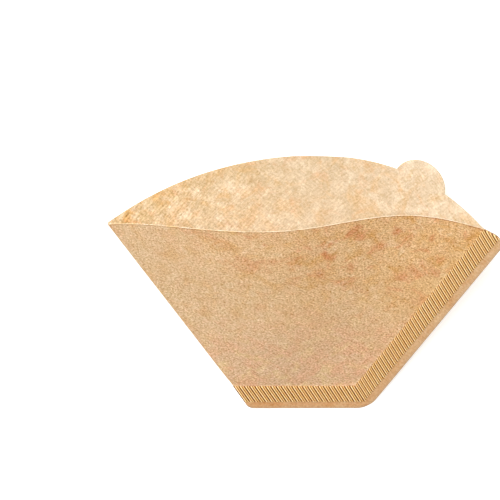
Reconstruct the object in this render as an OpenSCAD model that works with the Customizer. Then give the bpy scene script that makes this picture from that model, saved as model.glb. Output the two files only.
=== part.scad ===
// Cone coffee filter of unbleached paper, opened and lying on its rear panel.
// One folded sheet: a fold down one side, a crimped seam down the other side and
// along the bottom, an arched mouth and a round finger tab on the rear panel.

/* [Paper] */
// Thickness of one layer of the paper
paper_t = 0.3; // [0.2:0.05:0.5]

/* [Flat pattern] */
// Width of the mouth from the fold's tip to the seam's tip, laid flat
mouth_w = 165; // [150:1:180]
// Length of the bottom edge from corner to corner, laid flat
bottom_w = 48; // [42:1:56]
// Angle between a side edge and the bottom edge
side_angle = 58; // [55:1:61]
// Height of the arched mouth edge above its two tips
arch_h = 18; // [12:1:22]
// Rounding of the bottom corner at the fold
fold_corner_r = 4; // [1:0.5:7]
// Rounding of the bottom corner where the two crimped strips meet
seam_corner_r = 9; // [3:0.5:12]
// Rounding of the seam's tip at the mouth
tip_r = 5; // [1:0.5:7]

/* [Crimped seam] */
// Width of the ribbed strip
crimp_w = 7; // [5:0.5:9]
// Width of the plain paper outside the ribs
margin_w = 3; // [2:0.5:5]
// Distance from one deep groove to the next along the bottom
crimp_pitch = 2.1; // [1.8:0.1:3]
// Distance from one deep groove to the next up the seam
seam_pitch = 2.25; // [1.9:0.05:3]
// Height of the ridges above the deep grooves
crimp_h = 0.6; // [0.2:0.1:1]
// Height of the shallow groove between two deep ones
shallow_h = 0.3; // [0:0.05:0.6]
// Length over which a ridge rises at each of its ends
crimp_ramp = 0.6; // [0.3:0.1:1.2]

/* [Finger tab] */
// Width of the tab where it leaves the mouth edge
tab_w = 21; // [16:1:28]
// Height of the tab above the mouth edge
tab_h = 8; // [5:0.5:11]
// Distance along the mouth edge from the crimped strip to the middle of the tab
tab_from_seam = 29.5; // [24:0.5:50]

/* [Opened form] */
// How far the rear panel bows away from the line between the tips
back_bow = 30; // [22:1:34]
// How far the rear panel's bow is drawn towards the fold
back_skew = 3.6; // [0:0.2:5]
// How much fuller than a plain bow the rear panel's sides are
back_fullness = 1.1; // [0:0.1:2]
// How far the front panel bows away from the line between the tips
front_bow = 14; // [8:1:18]
// How much more the front panel bows near the fold than near the seam
front_wave = 4.1; // [0:0.1:6]
// How much flatter than a plain bow the front panel's sides are
front_flatness = 2; // [0:0.1:3]
// How far the fold's tip stands forward of the bottom strip's inner line
fold_tip_forward = 5; // [0:0.5:9]
// How far the seam's tip stands forward of the same line
seam_tip_forward = 13; // [6:0.5:16]
// How far the rear panel is pressed flat by its own weight where it lies
settle = 0.5; // [0.2:0.1:1]

/* [Hidden] */
paper_colour = [0.80, 0.62, 0.44];

seam_w = crimp_w + margin_w;
mitre_angle = 90 - side_angle / 2;
corner_h = (mouth_w - bottom_w) / 2 * tan(side_angle);

// The mouth's arc through both tips, and the corners of the flat pattern
mouth_r = (pow(mouth_w / 2, 2) + pow(arch_h, 2)) / (2 * arch_h);
mouth_centre = [0, corner_h + arch_h - mouth_r];
fold_corner = [-bottom_w / 2, 0];
seam_corner = [bottom_w / 2, 0];
along_seam = [cos(side_angle), sin(side_angle)];
out_of_seam = [sin(side_angle), -cos(side_angle)];

// The point at a given inset from the seam's edge and a given distance from the
// middle of the mouth's arc
function inset_from_seam(inset, radius) =
    let (start = seam_corner - out_of_seam * inset - mouth_centre,
         half = start * along_seam,
         rest = start * start - radius * radius)
    mouth_centre + start + along_seam * (sqrt(half * half - rest) - half);

// Inner edge of the crimped strips: from the fold, round the corner, to the mouth
inner_fold = [fold_corner.x - seam_w / tan(side_angle), seam_w];
inner_corner = [seam_corner.x - seam_w / tan(mitre_angle), seam_w];
inner_mouth = inset_from_seam(seam_w, mouth_r);
bottom_len = inner_corner.x - inner_fold.x;
seam_len = norm(inner_mouth - inner_corner);

// The mouth's arc from the fold's tip to the crimped strip
arc_start = -asin(mouth_w / 2 / mouth_r);
arc_end = atan2(inner_mouth.x, inner_mouth.y - mouth_centre.y);
arc_len = mouth_r * (arc_end - arc_start) * PI / 180;
function flat_mouth(u) =
    let (a = arc_start + (arc_end - arc_start) * u)
    mouth_centre + mouth_r * [sin(a), cos(a)];

// A bow this deep draws each end of the mouth in by half of this
tip_draw = pow(PI, 2) * (pow(back_bow, 2) + pow(front_bow, 2)) / (8 * arc_len);
mouth_left = (tip_draw - mouth_w) / 2;
mouth_right = inner_mouth.x - tip_draw / 2;
mouth_span = mouth_right - mouth_left;

// A wave along the mouth, of one bow, two half bows and three third bows
function wave(u, one, two, three) =
    one * sin(180 * u) + two * sin(360 * u) + three * sin(540 * u);

// A point of the opened mouth edge, seen from the inner edge of the bottom strip:
// across, backwards and up. Where the line up to it starts, at foot, and where it
// ends, at u, are both shares of the way along. The line keeps its flat length.
function opened(u, foot, backwards, bow) =
    let (start = inner_fold.x + bottom_len * foot,
         flat = flat_mouth(u) - [start, seam_w],
         share = (flat_mouth(u).x + mouth_w / 2) / (inner_mouth.x + mouth_w / 2),
         across = mouth_left + mouth_span * share - PI * bow * bow / (8 * mouth_span) * sin(360 * u),
         tips = fold_tip_forward + (seam_tip_forward - fold_tip_forward) * u,
         y = backwards - tips,
         up = sqrt(flat * flat - pow(across - start, 2) - y * y))
    [across, y, up];
function back_edge(u, foot) =
    opened(u, foot, wave(u, back_bow, -back_skew, back_fullness), back_bow);
function front_edge(u, foot) =
    opened(u, foot, -wave(u, front_bow, front_wave, -front_flatness), front_bow);

// The filter lies on the bottom strip and the lowest line of the rear panel
lay_steps = 200;
lay_angle = max([for (n = [0:lay_steps])
    let (u = n / lay_steps, p = back_edge(u, u)) atan2(p.y, p.z)]);
function lay(p) =
    [p.x,
     seam_w + p.z * cos(lay_angle) + p.y * sin(lay_angle),
     p.z * sin(lay_angle) - p.y * cos(lay_angle)];

// Counts: pitches of the ribs along the bottom and up the seam, and the columns and
// rows of the panels. Each pitch is four lines of the strip: a deep groove, a ridge, a
// shallow groove and a ridge.
rib_profile = [0, crimp_h, shallow_h, crimp_h];
lines_per_rib = len(rib_profile);
cols_per_rib = 2;
ribs_per_row = 3;
cols = cols_per_rib * round(bottom_len / crimp_pitch);
rows = round(seam_len / seam_pitch / ribs_per_row);
lines_per_col = lines_per_rib / cols_per_rib;
lines_per_row = lines_per_rib * ribs_per_row;
line_corner = lines_per_col * cols;
line_mouth = line_corner + lines_per_row * rows;

// Strip coordinates: how far along the inner edge of the seam, and how far out of it,
// along lines parallel to the mitre of the corner
mitre_step = out_of_seam - along_seam / tan(mitre_angle);
function strip_flat(along, out) = inner_corner + along_seam * along + mitre_step * out;
function strip_along(p) =
    (p - inner_corner) * along_seam + (p - inner_corner) * out_of_seam / tan(mitre_angle);

// Rounded corners: the two corners of the bottom edge and the seam's tip
fold_round = [fold_corner.x + fold_corner_r / tan(mitre_angle), fold_corner_r];
seam_round = [seam_corner.x - seam_corner_r / tan(mitre_angle), seam_corner_r];
tip_round = inset_from_seam(tip_r, mouth_r - tip_r);
tip_on_mouth = mouth_centre + (tip_round - mouth_centre) * mouth_r / (mouth_r - tip_r);
tip_end = strip_along(tip_round) + tip_r / sin(mitre_angle);
tip_end_out = seam_w - tip_r + tip_r * cos(mitre_angle);
tip_ribs = max(2, round((tip_end - seam_len) / seam_pitch));
line_end = line_mouth + lines_per_rib * tip_ribs;

// How far out a line that starts at p and runs along step meets a circle: side is 1
// where it leaves the circle and -1 where it enters it
function meets(p, step, centre, radius, side) =
    let (half = (p - centre) * step,
         size = step * step,
         rest = (p - centre) * (p - centre) - radius * radius)
    (side * sqrt(max(0, half * half - size * rest)) - half) / size;

// Each line of the strips: its start on the inner edge, its step for each millimetre
// out, where the paper begins on it and where the paper ends
function bottom_line(k) =
    let (share = k / line_corner,
         start = inner_fold + (inner_corner - inner_fold) * share,
         foot = fold_corner + (seam_corner - fold_corner) * share,
         step = (foot - start) / seam_w,
         ends = foot.x < fold_round.x ? meets(start, step, fold_round, fold_corner_r, 1)
              : foot.x > seam_round.x ? meets(start, step, seam_round, seam_corner_r, 1)
              : seam_w)
    [start, step, 0, ends];
function seam_line(k) =
    let (past = (k - line_mouth) / (line_end - line_mouth),
         along = k > line_mouth ? seam_len + (tip_end - seam_len) * past
               : seam_len * (k - line_corner) / (line_mouth - line_corner),
         start = strip_flat(along, 0),
         begins =
             k <= line_mouth ? 0
             : along < strip_along(tip_on_mouth) ? meets(start, mitre_step, mouth_centre, mouth_r, -1)
             : meets(start, mitre_step, tip_round, tip_r, -1),
         ends =
             along < seam_corner_r / tan(mitre_angle)
             ? meets(start, mitre_step, seam_round, seam_corner_r, 1)
             : along > strip_along(tip_round) + tip_r / tan(mitre_angle)
             ? meets(start, mitre_step, tip_round, tip_r, 1)
             : seam_w)
    [start, mitre_step, k == line_end ? tip_end_out : begins, k == line_end ? tip_end_out : ends];
strip_lines = [for (k = [0:line_end]) k <= line_corner ? bottom_line(k) : seam_line(k)];

// Five points on each line: where a ridge starts to rise and has risen, where it starts
// to fall and has fallen, and the paper's edge
levels = [0, crimp_ramp, crimp_w - crimp_ramp, crimp_w, seam_w];
last = len(levels) - 1;
function out_at(k, j) = min(max(levels[j], strip_lines[k][2]), strip_lines[k][3]);

// The opened seam strip leans up from the table, hinged to the bottom strip's mitre
corner_point = [inner_corner.x, seam_w, 0];
seam_dir = let (d = lay(back_edge(1, 1)) - corner_point) d / norm(d);
mitre_vector = [seam_corner.x - inner_corner.x, -seam_w, 0];
seam_normal = let (n = cross(mitre_vector, seam_dir)) n / norm(n);
bottom_normal = [0, 0, 1];
corner_normal = let (n = seam_normal + bottom_normal) n / norm(n);
function strip_point(k, out) =
    let (flat = strip_lines[k][0] + strip_lines[k][1] * out)
    k <= line_corner ? [flat.x, flat.y, 0]
    : corner_point + seam_dir * strip_along(flat) + mitre_vector * out / seam_w;
function strip_normal(k) =
    k < line_corner ? bottom_normal : k == line_corner ? corner_normal : seam_normal;
function rib(k, out) =
    out > crimp_ramp / 2 && out < crimp_w - crimp_ramp / 2 ? rib_profile[k % lines_per_rib] : 0;
function strip_skin(side) =
    [for (k = [0:line_end]) for (j = [0:last])
        let (out = out_at(k, j), lift = (k == 0 ? 0 : side * paper_t) + rib(k, out))
        strip_point(k, out) + strip_normal(k) * lift];

// The tab takes up whole columns of the rear panel, so the columns are spread to fit
tab_middle = 1 - tab_from_seam / arc_len;
tab_start = tab_middle - tab_w / 2 / arc_len;
tab_end = tab_middle + tab_w / 2 / arc_len;
tab_first = round(tab_start * cols);
tab_last = round(tab_end * cols);
function mouth_at(i) =
    i <= tab_first ? tab_start * i / tab_first
    : i <= tab_last ? tab_start + (tab_end - tab_start) * (i - tab_first) / (tab_last - tab_first)
    : tab_end + (1 - tab_end) * (i - tab_last) / (cols - tab_last);

// Inner faces of the panels: straight lines from the bottom strip up to the mouth
function ruled(edge) =
    [for (i = [0:cols]) let (foot = [inner_fold.x + bottom_len * i / cols, seam_w, 0], top = lay(edge[i]))
        [for (j = [0:rows]) foot + (top - foot) * j / rows]];
front_inner = ruled([for (i = [0:cols]) front_edge(mouth_at(i), i / cols)]);
back_free = ruled([for (i = [0:cols]) back_edge(mouth_at(i), i / cols)]);
back_inner = [for (i = [0:cols]) [for (j = [0:rows])
    let (p = back_free[i][j], sink = settle * j / rows * sin(180 * i / cols))
    [p.x, p.y, i == 0 || i == cols ? p.z : max(0, p.z - sink)]]];

// Where the two panels' inner faces meet along the fold, a little inside it
fold_inset = 4 * paper_t;
fold_inner = [for (j = [0:rows])
    let (inwards = (front_inner[1][j] + back_inner[1][j]) / 2 - front_inner[0][j])
    front_inner[0][j] + inwards * fold_inset / norm(inwards)];

// Outer faces: the inner ones moved out by the paper's thickness, none on the fold
function normal_at(grid, i, j) =
    let (across = grid[min(i + 1, cols)][j] - grid[max(i - 1, 0)][j],
         up = grid[i][min(j + 1, rows)] - grid[i][max(j - 1, 0)],
         n = cross(across, up))
    n / norm(n);
function outer(grid, side) =
    [for (i = [0:cols]) for (j = [0:rows])
        i == 0 || i == cols || j == 0 ? grid[i][j]
        : let (p = grid[i][j] + normal_at(grid, i, j) * side * paper_t) [p.x, p.y, max(p.z, -paper_t)]];
function inner(grid) = [for (i = [0:cols]) for (j = [0:rows]) i == 0 ? fold_inner[j] : grid[i][j]];

// The tab: a round of paper that carries the rear panel on above the mouth edge
tab_round = (pow(tab_w / 2, 2) + pow(tab_h, 2)) / (2 * tab_h);
tab_sweep = atan2(tab_w / 2, tab_round - tab_h);
tab_fans = 4;
tab_steps = tab_fans * (tab_last - tab_first);
function tab_point(n) =
    let (a = tab_sweep * (2 * n / tab_steps - 1),
         u = tab_middle + tab_round * sin(a) / arc_len,
         top = lay(back_edge(u, u)),
         line = top - [inner_fold.x + bottom_len * u, seam_w, 0],
         p = top + line / norm(line) * (tab_round * cos(a) - tab_round + tab_h))
    [p.x, p.y, max(0, p.z - settle * sin(180 * u))];
tab_outwards = normal_at(back_inner, round((tab_first + tab_last) / 2), rows) * -paper_t;
tab_inner = [for (n = [1:tab_steps - 1]) tab_point(n)];
tab_outer = [for (p = tab_inner) p + tab_outwards];

// All points, one list after another, and the place where each list starts
strip_count = (line_end + 1) * len(levels);
panel_count = (cols + 1) * (rows + 1);
points = concat(strip_skin(1), strip_skin(-1), outer(front_inner, 1), outer(back_inner, -1),
                inner(front_inner), inner(back_inner), tab_outer, tab_inner);
panels_start = 2 * strip_count;
tab_list_start = panels_start + 4 * panel_count;

// Numbers of the points. Where two faces share an edge, both use the same number.
function strip_f(k, j) =
    j < last && out_at(k, j + 1) == out_at(k, j) ? strip_f(k, j + 1) : k * len(levels) + j;
function strip_b(k, j) = k == 0 ? strip_f(k, j) : strip_f(k, j) + strip_count;
function panel(list, i, j) = panels_start + list * panel_count + i * (rows + 1) + j;
function front_o(i, j) =
    j == 0 ? strip_f(lines_per_col * i, 0)
    : i == cols ? strip_f(line_corner + lines_per_row * j, 0)
    : panel(0, i, j);
function back_o(i, j) =
    i == 0 ? front_o(i, j)
    : j == 0 ? strip_b(lines_per_col * i, 0)
    : i == cols ? strip_b(line_corner + lines_per_row * j, 0)
    : panel(1, i, j);
function front_i(i, j) = panel(2, i, j);
function back_i(i, j) = i == 0 || i == cols || j == 0 ? front_i(i, j) : panel(3, i, j);
function tab_o(n) =
    n == 0 ? back_o(tab_first, rows)
    : n == tab_steps ? back_o(tab_last, rows)
    : tab_list_start + n - 1;
function tab_i(n) =
    n == 0 ? back_i(tab_first, rows)
    : n == tab_steps ? back_i(tab_last, rows)
    : tab_list_start + tab_steps - 1 + n - 1;

// Triangles, without those that have shrunk to a line, and two of them for four points
function whole(faces) = [for (t = faces) if (t[0] != t[1] && t[1] != t[2] && t[2] != t[0]) t];
function quad(a, b, c, d) = whole([[a, b, c], [a, c, d]]);
// Triangles between a coarse edge and a fine one that has several points to each
function zip(coarse, fine) =
    let (per = (len(fine) - 1) / (len(coarse) - 1), half = floor(per / 2))
    [for (c = [0:len(coarse) - 2]) each whole(concat(
        [for (n = [0:half - 1]) [coarse[c], fine[c * per + n], fine[c * per + n + 1]]],
        [[coarse[c], fine[c * per + half], coarse[c + 1]]],
        [for (n = [half:per - 1]) [coarse[c + 1], fine[c * per + n], fine[c * per + n + 1]]]))];
function fan(hub, rim) = [for (n = [0:len(rim) - 2]) [hub, rim[n], rim[n + 1]]];
function turned(faces) = [for (t = faces) [t[0], t[2], t[1]]];

// One outer skin, front or rear, of a panel: its free rows, the row beside the bottom
// strip, the corner, and the column beside the seam strip
function skin(grid, strip) =
    let (corner_from = line_corner - lines_per_col, corner_to = line_corner + lines_per_row)
    concat(
        [for (i = [0:cols - 2]) for (j = [1:rows - 1])
            each quad(grid[i][j], grid[i][j + 1], grid[i + 1][j + 1], grid[i + 1][j])],
        turned(zip([for (i = [0:cols - 1]) grid[i][1]], [for (k = [0:corner_from]) strip[k][0]])),
        turned(fan(grid[cols - 1][1], [for (k = [corner_from:corner_to]) strip[k][0]])),
        turned(zip([for (j = [1:rows]) grid[cols - 1][j]],
                   [for (k = [corner_to:line_mouth]) strip[k][0]])),
        [for (k = [0:line_end - 1]) for (j = [0:last - 1])
            each quad(strip[k][j], strip[k + 1][j], strip[k + 1][j + 1], strip[k][j + 1])]);
// One inner skin. Its cells are cut towards the edge that they lie near, so that no
// cut joins two points that both panels share.
function cavity(grid) =
    [for (i = [0:cols - 1]) for (j = [0:rows - 1])
        each i < cols / 2 ? quad(grid[i][j], grid[i][j + 1], grid[i + 1][j + 1], grid[i + 1][j])
             : quad(grid[i + 1][j], grid[i][j], grid[i][j + 1], grid[i + 1][j + 1])];

front_strip = [for (k = [0:line_end]) [for (j = [0:last]) strip_f(k, j)]];
back_strip = [for (k = [0:line_end]) [for (j = [0:last]) strip_b(k, j)]];
front_grid = [for (i = [0:cols]) [for (j = [0:rows]) front_o(i, j)]];
back_grid = [for (i = [0:cols]) [for (j = [0:rows]) back_o(i, j)]];
front_cavity = [for (i = [0:cols]) [for (j = [0:rows]) front_i(i, j)]];
back_cavity = [for (i = [0:cols]) [for (j = [0:rows]) back_i(i, j)]];

// The paper's cut edges: round the outline, across the mouth and round the tab
outline_rim = [for (k = [0:line_end - 1])
    each quad(front_strip[k][last], front_strip[k + 1][last],
              back_strip[k + 1][last], back_strip[k][last])];
front_rim = [for (i = [0:cols - 1])
    each quad(front_o(i, rows), front_i(i, rows), front_i(i + 1, rows), front_o(i + 1, rows))];
back_rim = [for (i = [0:cols - 1]) if (i < tab_first || i >= tab_last)
    each quad(back_o(i, rows), back_o(i + 1, rows), back_i(i + 1, rows), back_i(i, rows))];
tip_rim = concat(
    [[front_strip[line_mouth][0], front_i(cols, rows), front_strip[line_mouth + 1][0]],
     [front_i(cols, rows), back_strip[line_mouth + 1][0], front_strip[line_mouth + 1][0]],
     [front_i(cols, rows), back_strip[line_mouth][0], back_strip[line_mouth + 1][0]]],
    [for (k = [line_mouth + 1:line_end - 1])
        each quad(front_strip[k][0], back_strip[k][0], back_strip[k + 1][0], front_strip[k + 1][0])]);
tab_faces = concat(
    turned(zip([for (i = [tab_first:tab_last]) back_o(i, rows)], [for (n = [0:tab_steps]) tab_o(n)])),
    zip([for (i = [tab_first:tab_last]) back_i(i, rows)], [for (n = [0:tab_steps]) tab_i(n)]),
    [for (n = [0:tab_steps - 1]) each quad(tab_o(n), tab_o(n + 1), tab_i(n + 1), tab_i(n))]);

faces = concat(skin(front_grid, front_strip), turned(skin(back_grid, back_strip)),
               turned(cavity(front_cavity)), cavity(back_cavity),
               outline_rim, front_rim, back_rim, tip_rim, tab_faces);

// The origin is under the middle of the filter, on the table
low = [for (axis = [0:2]) min([for (p = points) p[axis]])];
high = [for (axis = [0:2]) max([for (p = points) p[axis]])];

module filter_paper() {
    color(paper_colour)
        translate([-(low.x + high.x) / 2, -(low.y + high.y) / 2, -low.z])
            polyhedron(points = points, faces = faces);
}

filter_paper();
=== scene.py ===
import math
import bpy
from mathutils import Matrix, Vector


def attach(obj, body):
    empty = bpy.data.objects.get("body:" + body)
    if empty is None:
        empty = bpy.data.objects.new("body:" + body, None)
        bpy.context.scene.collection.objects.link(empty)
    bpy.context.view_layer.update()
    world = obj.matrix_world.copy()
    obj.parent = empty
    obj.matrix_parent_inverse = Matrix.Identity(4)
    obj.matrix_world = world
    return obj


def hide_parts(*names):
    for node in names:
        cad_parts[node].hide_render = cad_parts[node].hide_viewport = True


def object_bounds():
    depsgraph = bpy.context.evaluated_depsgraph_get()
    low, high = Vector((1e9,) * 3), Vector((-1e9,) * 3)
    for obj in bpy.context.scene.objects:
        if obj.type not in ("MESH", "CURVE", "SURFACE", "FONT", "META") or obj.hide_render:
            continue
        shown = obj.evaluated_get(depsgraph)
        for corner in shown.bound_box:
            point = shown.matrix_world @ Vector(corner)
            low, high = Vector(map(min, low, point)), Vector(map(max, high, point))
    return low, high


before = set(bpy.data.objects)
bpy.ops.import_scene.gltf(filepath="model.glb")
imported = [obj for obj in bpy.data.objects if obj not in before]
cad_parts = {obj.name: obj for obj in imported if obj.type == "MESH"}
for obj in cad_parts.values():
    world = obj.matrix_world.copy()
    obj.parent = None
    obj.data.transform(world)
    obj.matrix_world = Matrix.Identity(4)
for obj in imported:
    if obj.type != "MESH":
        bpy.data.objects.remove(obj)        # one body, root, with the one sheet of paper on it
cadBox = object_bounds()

from types import SimpleNamespace

import bmesh
import bpy
import numpy as np
from mathutils import Matrix, Vector

mm = 0.001        # the shapes are worked out in millimetres and built in metres
print("frame loaded, box", [round(v / mm, 1) for v in cadBox[1] - cadBox[0]])

# What a user would change on the paper: sizes in millimetres, angles in degrees
filterPaper = {
    "paperT": 0.3,           # one layer
    "edgeBulge": 0.25,       # share of a layer by which a cut edge is rounded out
    "mouthW": 165,           # from tip to tip, laid flat
    "bottomW": 48,           # bottom edge, laid flat
    "sideAngle": 58,         # between a side edge and the bottom edge
    "archH": 18,             # rise of the mouth's arc over its tips
    "foldCornerR": 4,
    "seamCornerR": 9,
    "tipR": 5,
    "crimpW": 7,             # the ribbed band
    "marginW": 3,            # plain paper outside it
    "crimpPitch": 2.1,       # a deep groove and a shallow one to each pitch, along the bottom
    "seamPitch": 2.25,       # and along the seam
    "crimpH": 0.6,           # height of a rib
    "crimpRamp": 0.5,        # a rib's rise at its ends
    "deepGroove": 0.30,      # share of the height that the deep groove goes below the shallow one
    "ridgeFall": 0.12,       # the second ridge of a pitch is lower by twice this share
    "outlineShadeW": 0.8,             # the outline's rim, darkened with painted shade
    "marginRipple": 0.10,    # what is left of the ribs just outside the band
    "rippleFade": 1.2,       # and how soon it dies away
    "tabW": 21,
    "tabH": 8,
    "tabFromSeam": 29.5,     # along the mouth, from the strip's inner edge to the tab's middle
    "backBow": 30,           # how far the rear panel bows away from the line between the tips
    "backSkew": 3.6,         # leaning to the seam
    "backFullness": 1.1,     # and fuller at both ends
    "frontBow": 14,          # how far the front panel bows
    "frontWave": 4.1,        # leaning to the fold
    "frontFlatness": 2,      # and flatter at both ends
    "foldTipForward": 5,     # how far each tip stands forward of the bottom
    "seamTipForward": 13,
    "settle": 0.5,           # pressed flat by its own weight where it lies
    "softSeam": 1.6,         # how soon the two layers part beside the seam
    "hairGap": 0.03,         # least gap between the layers
    "hairReach": 0.3,        # and how soon it opens
    "softCorner": 3.5,       # how soon the seam strip leaves the table past the corner
    "foldNose": 1.8,         # paper that the rounded fold takes from each panel
    "foldSide": 6,           # the column that shows how a panel leaves the fold
    "wobble": 0.16,          # slow unevenness of the opened panels
    "wobbleWaves": (         # each a share of it, its lengths across and up, and its phase
        (1, 9.5, 17, 0.6), (0.7, 15, -8, 1.3), (0.5, 31, 5.5, 0)),
    "wobbleRise": 0.12,      # shares of the width and of the height over which it rises from the edges
    "wobbleLift": 0.15,
    "columns": 96,           # from the fold to the seam
    "rows": 96,              # from the bottom to the mouth
    "columnCrowd": (0.86, 0.80, 0.04),    # how much narrower at the start and the end, and how far in
    "rowCrowd": (0.80, 0.70, 0.03),
    "restLines": 401,        # tried to find the one that the rear panel rests on
    "linesPerColumn": 3,     # fine lines of the crimped strip to each column and row
    "linesPerRow": 6,
    "tipLines": 36,          # round the strip's tip
    "rampSteps": 4,          # steps out from the strip's inner edge: over a ramp, over the band
    "bandSteps": 5,
    "marginLevels": (0.7, 1.4),       # past the band
    "rimLevels": (0.5, 0.15, 0),      # in from the outline
    "tabFans": 4,            # lines of the tab to each column
    "tabLevels": (0.12, 0.3, 0.55, 0.8, 0.96, 1),
    "sharpAngle": 62,        # edges turned more than this stay sharp
}


finishSlots = ["outer", "inner", "crimp", "cut"]
uvSpan = 200      # millimetres of paper to one unit of the UV map
tiny = 1e-6       # points closer than this, in millimetres, are one


def unit(v):
    # each vector divided by its length
    return v / np.linalg.norm(v, axis=-1, keepdims=True)


def smooth(x):
    # 3x^2 - 2x^3, from 0 at x = 0 to 1 at x = 1
    x = np.clip(x, 0, 1)
    return x * x * (3 - 2 * x)


def crowded(count, atStart, atEnd, reach):
    # count steps from 0 to 1, each 1 - atStart e^(-x/reach) - atEnd e^((x-1)/reach) wide before scaling
    x = (np.arange(count) + 0.5) / count
    width = 1 - atStart * np.exp(-x / reach) - atEnd * np.exp((x - 1) / reach)
    return np.concatenate([[0], np.cumsum(width) / width.sum()])


def finer(shares, per):
    # per equal steps in place of each step
    return np.interp(np.arange((len(shares) - 1) * per + 1) / per, np.arange(len(shares)), shares)


def flatPattern(p):
    # the sheet folded flat: bottom edge on y = 0, straight sides at sideAngle, the mouth an arc of radius
    # (w^2/4 + h^2) / 2h through both tips, and the crimped strip's inner edge parallel to bottom and seam
    side = math.radians(p["sideAngle"])
    f = SimpleNamespace(mitre=math.pi / 2 - side / 2, seamW=p["crimpW"] + p["marginW"])
    f.mouthR = ((p["mouthW"] / 2) ** 2 + p["archH"] ** 2) / (2 * p["archH"])
    cornerH = (p["mouthW"] - p["bottomW"]) / 2 * math.tan(side)
    f.mouthCentre = np.array([0, cornerH + p["archH"] - f.mouthR])
    f.foldCorner = np.array([-p["bottomW"] / 2, 0])
    f.seamCorner = np.array([p["bottomW"] / 2, 0])
    f.alongSeam = np.array([math.cos(side), math.sin(side)])
    f.outOfSeam = np.array([math.sin(side), -math.cos(side)])
    f.innerFold = np.array([f.foldCorner[0] - f.seamW / math.tan(side), f.seamW])
    f.innerCorner = np.array([f.seamCorner[0] - f.seamW / math.tan(f.mitre), f.seamW])
    f.innerMouth = insetFromSeam(f, f.seamW, f.mouthR)
    f.bottomLen = f.innerCorner[0] - f.innerFold[0]
    f.seamLen = np.linalg.norm(f.innerMouth - f.innerCorner)
    f.arcStart = -math.asin(p["mouthW"] / 2 / f.mouthR)
    f.arcEnd = math.atan2(f.innerMouth[0], f.innerMouth[1] - f.mouthCentre[1])
    f.arcLen = f.mouthR * (f.arcEnd - f.arcStart)
    f.mitreStep = f.outOfSeam - f.alongSeam / math.tan(f.mitre)
    f.seamRound = f.seamCorner + p["seamCornerR"] * np.array([-1 / math.tan(f.mitre), 1])
    return f


def insetFromSeam(f, inset, radius):
    # where the line at that inset from the seam's edge meets the circle of that radius about the mouth's
    # centre, t = sqrt(h^2 - s^2 + r^2) - h along it
    start = f.seamCorner - f.outOfSeam * inset - f.mouthCentre
    half = start @ f.alongSeam
    return f.mouthCentre + start + f.alongSeam * (math.sqrt(half ** 2 - start @ start + radius ** 2) - half)


def flatMouth(f, u):
    # the mouth's arc, from the fold's tip at u = 0 to the strip's inner edge at u = 1
    a = f.arcStart + (f.arcEnd - f.arcStart) * u
    return f.mouthCentre + f.mouthR * np.stack([np.sin(a), np.cos(a)], -1)


def openedEdge(p, f, u, foot, backwards, bow):
    # a bow of depth b draws the ends in by pi^2 b^2 / 8L each, for which both panels' mean is taken, and its
    # middle points by pi b^2 sin(2 pi u) / 8s. The height comes from the line's flat length:
    # up^2 = flat^2 - across^2 - back^2
    tipDraw = math.pi ** 2 * (p["backBow"] ** 2 + p["frontBow"] ** 2) / (8 * f.arcLen)
    left = (tipDraw - p["mouthW"]) / 2
    span = f.innerMouth[0] - tipDraw / 2 - left
    start = f.innerFold[0] + f.bottomLen * foot
    flat = flatMouth(f, u)
    share = (flat[..., 0] + p["mouthW"] / 2) / (f.innerMouth[0] + p["mouthW"] / 2)
    across = left + span * share - math.pi * bow ** 2 / (8 * span) * np.sin(2 * math.pi * u)
    back = backwards - (p["foldTipForward"] + (p["seamTipForward"] - p["foldTipForward"]) * u)
    length2 = (flat[..., 0] - start) ** 2 + (flat[..., 1] - f.seamW) ** 2
    return np.stack([across, back, np.sqrt(length2 - (across - start) ** 2 - back ** 2)], -1)


def bowed(u, one, two, three):
    # one bow, two half bows and three third bows along the mouth
    return one * np.sin(math.pi * u) + two * np.sin(2 * math.pi * u) + three * np.sin(3 * math.pi * u)


def backEdge(p, f, u, foot):
    # the rear panel's mouth edge, bowed backwards
    bow = bowed(u, p["backBow"], -p["backSkew"], p["backFullness"])
    return openedEdge(p, f, u, foot, bow, p["backBow"])


def frontEdge(p, f, u, foot):
    # the front panel's mouth edge, bowed forwards
    bow = bowed(u, p["frontBow"], p["frontWave"], -p["frontFlatness"])
    return openedEdge(p, f, u, foot, -bow, p["frontBow"])


def layDown(f, q):
    # turned about the strip's inner line until the rear panel's lowest line touches the table:
    # (x, w + z cos a + y sin a, z sin a - y cos a)
    x, y, z = q[..., 0], q[..., 1], q[..., 2]
    c, s = math.cos(f.layAngle), math.sin(f.layAngle)
    return np.stack([x, f.seamW + z * c + y * s, z * s - y * c], -1)


def meets(start, step, centre, radius, sign):
    # how far out the line start + step t meets the circle: (sign sqrt(b^2 - ac) - b) / a
    away = start - centre
    half = (away * step).sum(-1)
    size = (step * step).sum(-1)
    root = np.sqrt(np.maximum(0, half ** 2 - size * ((away * away).sum(-1) - radius ** 2)))
    return (sign * root - half) / size


def bottomLines(p, f, bottom):
    # the strip's lines along the bottom, which end on its edge or on the circles of its two corners
    foot = f.foldCorner + (f.seamCorner - f.foldCorner) * bottom[:, None]
    start = f.innerFold + (f.innerCorner - f.innerFold) * bottom[:, None]
    step = (foot - start) / f.seamW
    foldRound = f.foldCorner + p["foldCornerR"] * np.array([1 / math.tan(f.mitre), 1])
    ends = np.where(foot[:, 0] < foldRound[0], meets(start, step, foldRound, p["foldCornerR"], 1),
                    np.where(foot[:, 0] > f.seamRound[0],
                             meets(start, step, f.seamRound, p["seamCornerR"], 1), f.seamW))
    return start, step, 0 * ends, ends, (bottom - 1) * f.bottomLen


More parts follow.
